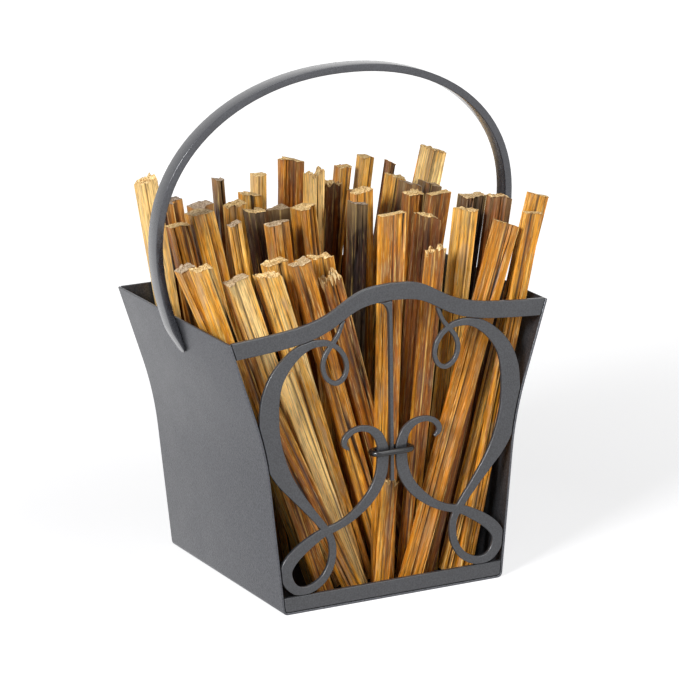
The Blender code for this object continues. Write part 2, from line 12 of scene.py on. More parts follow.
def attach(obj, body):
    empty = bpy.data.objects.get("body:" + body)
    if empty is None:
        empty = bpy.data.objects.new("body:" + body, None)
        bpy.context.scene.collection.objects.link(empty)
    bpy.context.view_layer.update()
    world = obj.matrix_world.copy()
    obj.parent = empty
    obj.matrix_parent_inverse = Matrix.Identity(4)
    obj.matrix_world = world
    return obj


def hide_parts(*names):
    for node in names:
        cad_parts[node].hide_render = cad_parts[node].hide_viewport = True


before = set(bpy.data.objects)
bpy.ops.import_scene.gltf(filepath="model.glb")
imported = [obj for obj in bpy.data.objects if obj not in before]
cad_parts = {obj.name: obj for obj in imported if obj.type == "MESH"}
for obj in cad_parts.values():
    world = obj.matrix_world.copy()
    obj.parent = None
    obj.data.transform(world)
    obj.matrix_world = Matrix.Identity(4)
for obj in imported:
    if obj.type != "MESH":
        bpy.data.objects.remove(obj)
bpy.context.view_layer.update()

# The camera, solved from the bin's edges in the photo: its lens, how it is turned, and in metres
# how far off it stands and the point that it looks at, to the right of and above the bin's foot
LENS_MM = 228.57
CAMERA_TURN = math.radians(26.979)
CAMERA_TILT = math.radians(15.404)
CAMERA_ROLL = math.radians(-0.811)
CAMERA_AWAY = 2.3310
CAMERA_RIGHT = 0.0042
CAMERA_HEIGHT = 0.1258

# Studio: the floor's own glow near the object, which is 1 far off, and where it changes, in metres
FLOOR_LIFT = 0.69
FLOOR_NEAR = 0.2
FLOOR_FAR = 0.9
FLOOR_RADIUS = 9
LAMP_AIM = Vector((0, 0, 0.12))

# Finish of the steel, in metres: how wide its edges are rounded, how fine and up to which span an
# outline is drawn as a curve, and how wide the slow clouds in the paint's tint and gloss are
SAME_PLACE = 0.000001
EASE_STEPS = 3
SHEET_EASE = 0.00035
PLATE_EASE = 0.0005
HANDLE_EASE = 0.0007
WIRE_EASE = 0.0001
OUTLINE_STEP = 0.0008
LONGEST_BENT_SPAN = 0.006
CLOUD = 0.022

# Angles: faces closer than the first are one flat face, edges above the others are eased or sharp
FLAT_FACE = math.radians(0.5)
FACES_FRONT = -0.9
SHEET_CORNER = math.radians(35)
BAR_CORNER = math.radians(50)
WIRE_CORNER = math.radians(80)
OUTLINE_CORNER = math.radians(38)
STEEL_SHARP = math.radians(50)
STICK_SHARP = math.radians(42)

# Sticks: corners of a section, spacing of the mesh across and along the grain, rows at the head,
# loops on an end, how far a ridge's pale edge with its painted highlight and a hollow corner's
# painted shade reach, and how far a head's wear reaches, in metres
SECTION_CORNERS = 8
AXIS_ROUNDS = 12
COLUMN = 0.0005
ROW = 0.005
HEAD_ROWS = 9
CAP_LOOPS = 9
RIDGE_REACH = 0.0009
WORN_HEAD = 0.018
STICK_SEED = 7


# Colours, nodes and meshes

def linear(code):
    """Linear colour of an sRGB hex value."""
    channels = [int(code[start:start + 2], 16) / 255 for start in (1, 3, 5)]
    return [c / 12.92 if c <= 0.04045 else ((c + 0.055) / 1.055) ** 2.4 for c in channels] + [1.0]


def feed(node, inputs):
    """Fills a node's inputs, given in their order or in a dictionary by name or number. Each one is
    a value, a socket to link, or a node whose first output in use is linked."""
    for key, value in inputs.items() if isinstance(inputs, dict) else enumerate(inputs):
        if isinstance(value, bpy.types.Node):
            value = next(socket for socket in value.outputs if socket.enabled)
        if isinstance(value, bpy.types.NodeSocket):
            node.id_data.links.new(value, node.inputs[key])
        else:
            node.inputs[key].default_value = value


def add(tree, kind, inputs=(), **settings):
    """Adds a node with its own settings and fills its inputs."""
    node = tree.nodes.new(kind)
    for name, value in settings.items():
        setattr(node, name, value)
    feed(node, inputs)
    return node


def grain_noise(tree, place, across, along, detail, rough=0.5):
    """Noise drawn out along the grain; across and along are sizes in metres."""
    spread = add(tree, "ShaderNodeVectorMath", (place, (1 / across, 1 / across, 1 / along)),
                 operation="MULTIPLY")
    return add(tree, "ShaderNodeTexNoise", {"Vector": spread, "Scale": 1.0, "Detail": detail,
                                            "Roughness": rough})


def new_material(name):
    """New material, its node tree and its shader."""
    made = bpy.data.materials.new(name)
    made.use_nodes = True
    return made, made.node_tree, made.node_tree.nodes["Principled BSDF"]


def new_tree(name, sockets):
    """Geometry Nodes tree with named inputs, each given as (name, kind, value)."""
    tree = bpy.data.node_groups.new(name, "GeometryNodeTree")
    tree.interface.new_socket("Geometry", in_out="INPUT", socket_type="NodeSocketGeometry")
    tree.interface.new_socket("Geometry", in_out="OUTPUT", socket_type="NodeSocketGeometry")
    for label, kind, value in sockets:
        socket = tree.interface.new_socket(label, in_out="INPUT", socket_type="NodeSocket" + kind)
        if value is not None:
            socket.default_value = value
    return tree, add(tree, "NodeGroupInput").outputs


def grown(name, mesh, tree, values):
    """Plain object whose mesh is what the tree makes of the given one."""
    holder = add_piece(name, mesh)
    modifier = holder.modifiers.new(tree.name, "NODES")
    modifier.node_group = tree
    for item in tree.interface.items_tree:
        if item.in_out == "INPUT" and item.name in values:
            modifier[item.identifier] = values[item.name]
    bpy.context.view_layer.update()
    shaped = holder.evaluated_get(bpy.context.evaluated_depsgraph_get())
    made = bpy.data.meshes.new_from_object(shaped)
    holder.modifiers.remove(modifier)
    holder.data = made
    made.name = name
    return holder


def merged_copy(node):
    """The CAD node's mesh as a bmesh, its loose triangles joined."""
    bm = bmesh.new()
    bm.from_mesh(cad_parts[node].data)
    bmesh.ops.remove_doubles(bm, verts=bm.verts, dist=SAME_PLACE)
    return bm


def flat_faced_copy(node):
    """The joined copy with the triangles of each flat face made one face."""
    bm = merged_copy(node)
    bmesh.ops.dissolve_limit(bm, angle_limit=FLAT_FACE, verts=bm.verts, edges=bm.edges)
    return bm


def finished(piece, node, body, material):
    """Sets a piece's material and the body that it rides on, and hides the CAD node that it stands
    for.
    """
    piece.data.materials.clear()
    piece.data.materials.append(material)
    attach(piece, body)
    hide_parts(node)


def add_piece(name, mesh):
    """New object in the scene, at the origin."""
    piece = bpy.data.objects.new(name, mesh)
    bpy.context.scene.collection.objects.link(piece)
    return piece


def eased(piece, width, corner):
    """Rounds the piece's edges, as a finished piece of steel has them."""
    bevel = piece.modifiers.new("eased edges", "BEVEL")
    bevel.width = width
    bevel.segments = EASE_STEPS
    bevel.limit_method = "ANGLE"
    bevel.angle_limit = corner
    bpy.context.view_layer.update()
    shaped = piece.evaluated_get(bpy.context.evaluated_depsgraph_get())
    mesh = bpy.data.meshes.new_from_object(shaped)
    piece.modifiers.clear()
    piece.data = mesh
    mesh.shade_smooth()
    mesh.set_sharp_from_angle(angle=STEEL_SHARP)
    return piece


# Camera and studio

def place_camera():
    """Long lens, a little above the rim, turned towards the left side."""
    camera = add_piece("camera", bpy.data.cameras.new("camera"))
    camera.data.sensor_width = 36
    camera.data.lens = LENS_MM
    camera.data.clip_start = 0.1
    camera.data.clip_end = 30
    level = math.cos(CAMERA_TILT)
    ahead = Vector((math.sin(CAMERA_TURN) * level,
                    math.cos(CAMERA_TURN) * level,
                    -math.sin(CAMERA_TILT)))
    right = Vector((math.cos(CAMERA_TURN), -math.sin(CAMERA_TURN), 0))
    up = right.cross(ahead)
    rolled_right = right * math.cos(CAMERA_ROLL) + up * math.sin(CAMERA_ROLL)
    rolled_up = up * math.cos(CAMERA_ROLL) - right * math.sin(CAMERA_ROLL)
    place = Matrix((rolled_right, rolled_up, -ahead)).transposed().to_4x4()
    place.translation = right * CAMERA_RIGHT - ahead * CAMERA_AWAY + Vector((0, 0, CAMERA_HEIGHT))
    camera.matrix_world = place
    bpy.context.scene.camera = camera


def add_softbox(name, place, size, power):
    """Square lamp that looks at the object; size in metres, power in watts."""
    lamp = bpy.data.lights.new(name, "AREA")
    lamp.shape = "RECTANGLE"
    lamp.size = size
    lamp.size_y = size
    lamp.energy = power
    holder = add_piece(name, lamp)
    holder.location = place
    holder.rotation_euler = (LAMP_AIM - Vector(place)).to_track_quat("-Z", "Y").to_euler()


def seen_directly(tree):
    """1 where the camera, a reflection or a view through glass looks at the surface itself."""
    path = add(tree, "ShaderNodeLightPath").outputs
    either = add(tree, "ShaderNodeMath", (path["Is Camera Ray"], path["Is Glossy Ray"]),
                 operation="MAXIMUM")
    return add(tree, "ShaderNodeMath", (either, path["Is Transmission Ray"]), operation="MAXIMUM")


def make_studio():
    """White floor that keeps the shadow, white all round, soft lamps to the left and above."""
    world = bpy.data.worlds.new("studio")
    bpy.context.scene.world = world
    world.use_nodes = True
    tree = world.node_tree
    tree.nodes.clear()
    light = add(tree, "ShaderNodeBackground", {"Color": linear("#F4F5F8"), "Strength": 0.05})
    white = add(tree, "ShaderNodeBackground", {"Color": (1, 1, 1, 1), "Strength": 1.0})
    mix = add(tree, "ShaderNodeMixShader", (seen_directly(tree), light, white))
    add(tree, "ShaderNodeOutputWorld", {"Surface": mix})

    bm = bmesh.new()
    bmesh.ops.create_circle(bm, cap_ends=True, segments=96, radius=FLOOR_RADIUS)
    mesh = bpy.data.meshes.new("floor")
    bm.to_mesh(mesh)
    bm.free()
    floor = add_piece("floor", mesh)
    paper, tree, shader = new_material("white paper floor")
    feed(shader, {"Base Color": linear("#B4B4B6"), "Roughness": 0.9, "Specular IOR Level": 0.1})
    here = add(tree, "ShaderNodeTexCoord").outputs["Object"]
    away = add(tree, "ShaderNodeVectorMath", (here,), operation="LENGTH")
    rise = add(tree, "ShaderNodeMapRange", (away, FLOOR_NEAR, FLOOR_FAR, FLOOR_LIFT, 1.0))
    lift = add(tree, "ShaderNodeMath", (seen_directly(tree), rise), operation="MULTIPLY")
    glow = add(tree, "ShaderNodeEmission", {"Color": (1, 1, 1, 1), "Strength": lift})
    both = add(tree, "ShaderNodeAddShader", (shader, glow))
    feed(tree.nodes["Material Output"], {"Surface": both})
    mesh.materials.append(paper)

    add_softbox("left softbox", (-1.6, -0.9, 1.0), 0.6, 50)
    add_softbox("overhead softbox", (0.15, -0.45, 0.76), 0.5, 2.6)
    add_softbox("front fill", (0.9, -2.2, 0.8), 1.2, 9)


# Finishes

def textured_paint(name, colour, flake, clear, roughness, grit, depth):
    """Paint on steel, sprayed and baked to one even coat, with metal flake in it and clear lacquer
    over it by the shares given. The eye sees satin charcoal with a fine orange-peel grit that turns
    light grey at a low angle; only the wire's coat is smooth and glossy. Real grit is about 0.3 mm
    wide, and it is drawn two to three times as coarse so that it shows in the render."""
    made, tree, shader = new_material(name)
    here = add(tree, "ShaderNodeTexCoord").outputs["Object"]
    peel = add(tree, "ShaderNodeTexNoise", {"Vector": here, "Scale": 1 / grit, "Detail": 2.0,
                                            "Roughness": 0.6})
    cloud = add(tree, "ShaderNodeTexNoise", {"Vector": here, "Scale": 1 / CLOUD, "Detail": 3.0})
    # The grit's tops are painted lighter and its hollows darker, as painted light and shade, and
    # slow clouds change the tint and the gloss
    light = [min(1, c * 1.55) for c in linear(colour)[:3]] + [1]
    dark = [c * 0.65 for c in linear(colour)[:3]] + [1]
    grain = add(tree, "ShaderNodeMapRange", (peel, 0.36, 0.64, 0.0, 0.65))
    share = add(tree, "ShaderNodeMath", (cloud, 0.35, grain), operation="MULTIPLY_ADD")
    # Painted light on the grit's tops and painted shade in its hollows, mixed with the clouds' tint
    cloud_tint_and_grit_shading = add(tree, "ShaderNodeMix", {0: share, 6: dark, 7: light}, data_type="RGBA")
    gloss = add(tree, "ShaderNodeMapRange", (cloud, 0.3, 0.7, roughness - 0.04, roughness + 0.05))
    bump = add(tree, "ShaderNodeBump", {"Height": peel, "Strength": 0.6, "Distance": depth})
    feed(shader, {"Base Color": cloud_tint_and_grit_shading, "Roughness": gloss, "Normal": bump, "Metallic": flake,
                  "Coat Weight": clear, "Coat Roughness": 0.16})
    return made


# Colours of the wood: along the split from pale sapwood to black resin, and of the pitted cut ends
SPLIT_COLOURS = ((0.0, "#F4CE88"), (0.16, "#E4AC4E"), (0.32, "#CE8A20"), (0.46, "#B26E14"),
                 (0.60, "#8F4F0D"), (0.74, "#613009"), (0.88, "#371806"), (1.0, "#1A0A04"))
FRESH_COLOURS = ((0.34, "#855A2C"), (0.46, "#D2A866"), (0.60, "#F4D8A0"))
GREY_COLOURS = ((0.34, "#54443A"), (0.46, "#8A7868"), (0.62, "#B3A290"))


def split_pine():
    """Resin-soaked pine heartwood, split by an axe along its grain. The eye sees long straw, honey
    and red-brown streaks, pale dusty patches and dull cut ends full of pits, with painted light and
    shade over them: cracks painted black as painted shade, hollow corners darkened with painted
    shade, pale torn edges that also carry a painted highlight, and painted highlights along fine
    pale streaks. Real fibres are about 0.04 mm wide, and they are drawn as bundles of 0.4 to 0.7
    mm, the finest that show in the render."""
    made, tree, shader = new_material("split_resin_pine")
    node = partial(add, tree)
    grain = node("ShaderNodeAttribute", attribute_name="grain").outputs["Vector"]
    tone, figure, age, near_head, cut_end, crack, ridge = (
        node("ShaderNodeAttribute", attribute_name=name).outputs["Fac"]
        for name in ("tone", "figure", "age", "near_head", "cut_end", "crack", "ridge"))

    # The grain wanders by up to 2.2 mm, and every pattern follows it
    drift = grain_noise(tree, grain, 0.02, 0.05, 1.0).outputs["Color"]
    wander = node("ShaderNodeVectorMath", (drift, (0.0022, 0.0022, 0), grain),
                  operation="MULTIPLY_ADD")
    streaks = partial(grain_noise, tree, wander)
    broad = streaks(0.0065, 0.11, 1.5, 0.5)
    bands = streaks(0.0019, 0.045, 2.0, 0.6)
    lines = streaks(0.0007, 0.016, 2.5, 0.6)
    fibres = streaks(0.0007, 0.022, 3.0, 0.7)
    fine = streaks(0.0004, 0.012, 2.0, 0.65)
    ducts = streaks(0.0005, 0.009, 1.0, 0.5)
    patches = streaks(0.0060, 0.022, 2.5, 0.65)
    pits = streaks(0.0010, 0.0010, 3.0, 0.7)

    # How dark the wood is: the stick's own tone, varied by its figure and by the fibres
    varied = node("ShaderNodeMath", (broad, 0.7), operation="MULTIPLY")
    varied = node("ShaderNodeMath", (bands, 0.5, varied), operation="MULTIPLY_ADD")
    varied = node("ShaderNodeMath", (patches, 0.6, varied), operation="MULTIPLY_ADD")
    varied = node("ShaderNodeMath", (varied, 0.9), operation="SUBTRACT")
    level = node("ShaderNodeMath", (varied, figure, tone), operation="MULTIPLY_ADD")
    level = node("ShaderNodeMath", (fibres, 0.4, level), operation="MULTIPLY_ADD")
    level = node("ShaderNodeMapRange", (level, 0.18, 1.16))
    split = node("ShaderNodeValToRGB", (level,))
    fresh = node("ShaderNodeValToRGB", (pits,))
    grey = node("ShaderNodeValToRGB", (pits,))
    for ramp, stops in ((split, SPLIT_COLOURS), (fresh, FRESH_COLOURS), (grey, GREY_COLOURS)):
        elements = ramp.color_ramp.elements
        elements[0].position = stops[0][0]
        elements[1].position = stops[-1][0]
        for place, _ in stops[1:-1]:
            elements.new(place)
        for element, (place, colour) in zip(elements, stops):
            element.color = linear(colour)
    shade = node("ShaderNodeMapRange", (fibres, 0.37, 0.63, 0.55, 1.48))
    body = node("ShaderNodeVectorMath", {0: split, "Scale": shade}, operation="SCALE")

    # Dark lines and resin ducts; pale dust and painted highlights along fine streaks, both weaker
    # on dark wood
    drawn = node("ShaderNodeMapRange", (lines, 0.56, 0.70, 0.0, 0.75))
    drawn = node("ShaderNodeMath", (drawn, figure), operation="MULTIPLY")
    resin = node("ShaderNodeMapRange", (ducts, 0.61, 0.70, 0.0, 0.6))
    # Painted highlights along fine pale streaks
    painted_glint = node("ShaderNodeMapRange", (fine, 0.57, 0.69, 0.0, 0.62))
    on_pale = node("ShaderNodeMapRange", (tone, 0.35, 0.8, 1.0, 0.3))
    painted_glint = node("ShaderNodeMath", (painted_glint, on_pale), operation="MULTIPLY")
    dusty = node("ShaderNodeMapRange", (patches, 0.53, 0.64, 0.0, 0.6))
    on_pale = node("ShaderNodeMapRange", (tone, 0.5, 0.1, 0.2, 1.0))
    dusty = node("ShaderNodeMath", (dusty, on_pale), operation="MULTIPLY")

    # Edges that stand out are torn pale in places and carry a painted highlight, hollow ones get
    # painted shade, and old heads are dull
    # Pale edges: torn fibres, with a painted highlight on corners that stand out
    edge = node("ShaderNodeMath", (fibres, 0.5), operation="SUBTRACT")
    edge = node("ShaderNodeMath", (edge, 2.2, ridge), operation="MULTIPLY_ADD")
    frayed_edge_and_highlight = node("ShaderNodeMapRange", (edge, 0.4, 1.1, 0.0, 0.8))
    in_places = node("ShaderNodeMapRange", (patches, 0.44, 0.58, 0.1, 1.0))
    frayed_edge_and_highlight = node("ShaderNodeMath", (frayed_edge_and_highlight, in_places), operation="MULTIPLY")
    # Hollow corners darkened with painted shade
    hollow = node("ShaderNodeMapRange", (ridge, -0.2, -0.9, 0.0, 0.8))
    worn = node("ShaderNodeMapRange", (age, 0.0, 1.0, 0.15, 0.7))
    worn = node("ShaderNodeMath", (near_head, worn), operation="MULTIPLY")
    in_bands = node("ShaderNodeMapRange", (bands, 0.4, 0.6, 0.5, 1.0))
    worn = node("ShaderNodeMath", (worn, in_bands), operation="MULTIPLY")
    # Cracks painted near black as painted shade, over their sunken depth
    painted_crack_shade = node("ShaderNodeMapRange", (crack, 0.25, 0.9, 0.0, 0.95))
    for share, colour in ((drawn, "#3A190A"), (resin, "#4A220C"), (painted_glint, "#F6D88C"),
                          (dusty, "#D0AE80"), (frayed_edge_and_highlight, "#F0CC76"), (hollow, "#2A1006"),
                          (worn, "#9E8258"), (painted_crack_shade, "#180904")):
        body = node("ShaderNodeMix", {0: share, 6: body, 7: linear(colour)}, data_type="RGBA")

    cut = node("ShaderNodeMix", {0: age, 6: fresh, 7: grey}, data_type="RGBA")
    colour = node("ShaderNodeMix", {0: cut_end, 6: body, 7: cut}, data_type="RGBA")
    dull = node("ShaderNodeMapRange", (fibres, 0.35, 0.65, 0.36, 0.60))
    rough = node("ShaderNodeMix", {0: cut_end, 2: dull, 3: 0.9}, data_type="FLOAT")
    relief = node("ShaderNodeMath", (fine, 0.4, fibres), operation="MULTIPLY_ADD")
    height = node("ShaderNodeMix", {0: cut_end, 2: relief, 3: pits}, data_type="FLOAT")
    bump = node("ShaderNodeBump", {"Height": height, "Strength": 0.6, "Distance": 0.0004})
    feed(shader, {"Base Color": colour, "Roughness": rough, "Normal": bump,
                  "Specular IOR Level": 0.42})
    return made


# Steel

def make_bent_piece(node, ease, corner, finish):
    """A CAD piece with its edges eased."""
    bm = flat_faced_copy(node)
    mesh = bpy.data.meshes.new(node + "_finished")
    bm.to_mesh(mesh)
    bm.free()
    piece = eased(add_piece(node + "_finished", mesh), ease, corner)
    finished(piece, node, "caddy", finish)


def front_loops(node):
    """Closed outlines of the plate's front face, as lists of (x, z)."""
    bm = flat_faced_copy(node)
    bm.normal_update()
    edges = [edge for edge in bm.edges
             if sum(face.normal.y < FACES_FRONT for face in edge.link_faces) == 1]
    nexts = {}
    for edge in edges:
        for vert in edge.verts:
            nexts.setdefault(vert, []).append(edge.other_vert(vert))
    loops = []
    while nexts:
        start = min(nexts, key=lambda vert: (vert.co.x, vert.co.z))
        loop = [start]
        before, here = start, nexts[start][0]
        while here is not start:
            loop.append(here)
            before, here = here, next(v for v in nexts[here] if v is not before)
        for vert in loop:
            del nexts[vert]
        loops.append([Vector((vert.co.x, vert.co.z)) for vert in loop])
    front = min(vert.co.y for vert in bm.verts)
    back = max(vert.co.y for vert in bm.verts)
    bm.free()
    return loops, front, back


def softened(loop):
    """The outline drawn as one smooth curve between its real corners. Long spans stay straight."""
    count = len(loop)
    sharp = []
    for index, point in enumerate(loop):
        arriving = point - loop[index - 1]
        leaving = loop[(index + 1) % count] - point
        sharp.append(arriving.angle(leaving) > OUTLINE_CORNER)
    dense = []
    for index, start in enumerate(loop):
        end = loop[(index + 1) % count]
        span = end - start
        before = start - span if sharp[index] else loop[index - 1]
        after = end + span if sharp[(index + 1) % count] else loop[(index + 2) % count]
        before = start + (before - start).normalized() * span.length
        after = end + (after - end).normalized() * span.length
        bent = span.length < LONGEST_BENT_SPAN
        steps = max(1, round(span.length / OUTLINE_STEP)) if bent else 1
        for step in range(steps):
            t = step / steps
            dense.append(0.5 * (2 * start + (end - before) * t
                                + (2 * before - 5 * start + 4 * end - after) * t ** 2
                                + (3 * start - before - 3 * end + after) * t ** 3))
    return dense


def make_plate(node, ease, finish):
    """A cut plate with smooth outlines and eased edges, where the CAD plate stands."""
    loops, front, back = front_loops(node)
    curve = bpy.data.curves.new(node, "CURVE")
    curve.dimensions = "2D"
    curve.fill_mode = "BOTH"
    curve.extrude = (back - front) / 2 - ease
    curve.bevel_depth = ease
    curve.bevel_resolution = 2
    curve.offset = -ease
    for loop in loops:
        dense = softened(loop)
        spline = curve.splines.new("POLY")
        spline.points.add(len(dense) - 1)
        for spline_point, point in zip(spline.points, dense):
            spline_point.co = (point.x, point.y, 0, 1)
        spline.use_cyclic_u = True
    holder = add_piece(node + "_outline", curve)
    bpy.context.view_layer.update()
    shaped = holder.evaluated_get(bpy.context.evaluated_depsgraph_get())
    mesh = bpy.data.meshes.new_from_object(shaped)
    bpy.data.objects.remove(holder)
    upright = Matrix.Rotation(math.pi / 2, 4, "X")
    mesh.transform(Matrix.Translation((0, (front + back) / 2, 0)) @ upright)
    mesh.shade_smooth()
    mesh.set_sharp_from_angle(angle=STEEL_SHARP)
    finished(add_piece(node + "_finished", mesh), node, "caddy", finish)


# Sticks

def ring_order(ring):
    """The ring's corners in their order round the section, found from the edges between them."""
    nexts = {}
    for vert in ring:
        beside = [edge.other_vert(vert) for edge in vert.link_edges]
        nexts[vert] = [other for other in beside if other in ring]
    order = [ring[0], nexts[ring[0]][0]]
    while len(order) < len(ring):
        order.append(next(vert for vert in nexts[order[-1]] if vert is not order[-2]))
    return order


def stick_cage(node):
    """The CAD stick as rings of corners from foot to head, and its own directions. The axis is
    the direction in which its corners spread most, found by turning a guess again and again."""
    bm = merged_copy(node)
    verts = list(bm.verts)
    middle = sum((vert.co for vert in verts), Vector()) / len(verts)
    axis = Vector((0, 0, 1))
    arms = [vert.co - middle for vert in verts]
    for _ in range(AXIS_ROUNDS):
        axis = sum((arm * arm.dot(axis) for arm in arms), Vector()).normalized()
    side = (Vector((1, 0, 0)) - axis * axis.x).normalized()
    front = axis.cross(side)
    verts.sort(key=lambda vert: (vert.co - middle).dot(axis))
    count = SECTION_CORNERS
    rings = [verts[start:start + count] for start in range(0, len(verts), count)]
    order = [vert.co.copy() for vert in ring_order(rings[1])]
    here = [corner - middle for corner in order]
    turn = sum(a.dot(side) * b.dot(front) - b.dot(side) * a.dot(front)
               for a, b in zip(here, here[1:] + here[:1]))
    if turn < 0:
        order.reverse()
    centre = sum(order, Vector()) / count
    ordered = []
    for ring in rings:
        places = [vert.co.copy() for vert in ring]
        lift = sum(places, Vector()) / count - centre
        matched = []
        for corner in order:
            nearest = min(places, key=lambda place: (place - corner - lift).length)
            places.remove(nearest)
            matched.append(nearest)
        ordered.append(matched)
    bm.free()
    return ordered, axis, side


def row_places(rings, axis):
    """Rows between the rings, as (ring below, share of the way up), close together at the head."""
    rows = []
    for index, (low, high) in enumerate(zip(rings, rings[1:])):
        length = (sum(high, Vector()) - sum(low, Vector())).dot(axis) / len(low)
        count = max(2, round(length / ROW))
        shares = [step / count for step in range(count)]
        if index == len(rings) - 2:
            last = shares[-1]
            shares += [last + (1 - last) * step / HEAD_ROWS for step in range(1, HEAD_ROWS)]
        rows += [(index, share) for share in shares]
    return rows + [(len(rings) - 2, 1.0)]


def stick_mesh(name, rings, axis, side):
    """The rings drawn over with fine columns along the grain, each end closed by narrowing loops.
    The attribute ridge is 1 along a corner that stands out and -1 along one that is hollow; the
    wood's material paints a highlight on the first and shade in the second. The attribute place is
    the point in the straight stick: across, through and up from the foot."""
    corners = len(rings[0])
    front = axis.cross(side)
    foot = sum(rings[0], Vector()) / corners
    middle = sum(rings[1], Vector()) / corners
    columns = []
    for index in range(corners):
        after = (index + 1) % corners
        length = sum((ring[after] - ring[index]).length for ring in rings) / len(rings)
        count = max(1, round(length / COLUMN))
        columns += [(index, after, step / count, length) for step in range(count)]
    bend = []
    for index in range(corners):
        before, here, after = (rings[1][(index + shift) % corners] for shift in (-1, 0, 1))
        bend.append(1.0 if (here - before).cross(after - here).dot(axis) > 0 else -1.0)
    verts = []
    ridge = []
    places = []
    for ring, share in row_places(rings, axis):
        low, high = rings[ring], rings[ring + 1]
        for index, after, step, length in columns:
            start = low[index].lerp(high[index], share)
            end = low[after].lerp(high[after], share)
            verts.append(start.lerp(end, step))
            near = bend[index] if step < 0.5 else bend[after]
            ridge.append(near * max(0.0, 1 - min(step, 1 - step) * length / RIDGE_REACH))
            across = rings[1][index].lerp(rings[1][after], step) - middle
            up = (verts[-1] - foot).dot(axis)
            places.append(Vector((across.dot(side), across.dot(front), up)))
    width = len(columns)
    faces = []
    for start in range(0, len(verts) - width, width):
        for index in range(width):
            after = (index + 1) % width
            above = start + width
            faces.append((start + index, start + after, above + after, above + index))
    for first, flip in ((0, True), (len(verts) - width, False)):
        rim = verts[first:first + width]
        rim_places = places[first:first + width]
        centre = sum(rim, Vector()) / width
        centre_place = sum(rim_places, Vector()) / width
        loop = list(range(first, first + width))
        for step in range(1, CAP_LOOPS):
            inner = list(range(len(verts), len(verts) + width))
            verts += [point.lerp(centre, step / CAP_LOOPS) for point in rim]
            places += [place.lerp(centre_place, step / CAP_LOOPS) for place in rim_places]
            ridge += [0.0] * width
            for index in range(width):
                after = (index + 1) % width
                face = (loop[index], loop[after], inner[after], inner[index])
                faces.append(face[::-1] if flip else face)
            loop = inner
        verts.append(centre)
        places.append(centre_place)
        ridge.append(0.0)
        for index in range(width):
            face = (loop[index], loop[(index + 1) % width], len(verts) - 1)
            faces.append(face[::-1] if flip else face)
    mesh = bpy.data.meshes.new(name)
    mesh.from_pydata([tuple(v) for v in verts], [], faces)
    mesh.attributes.new("ridge", "FLOAT", "POINT").data.foreach_set("value", ridge)
    flat_places = [number for place in places for number in place]
    mesh.attributes.new("place", "FLOAT_VECTOR", "POINT").data.foreach_set("vector", flat_places)
    return mesh


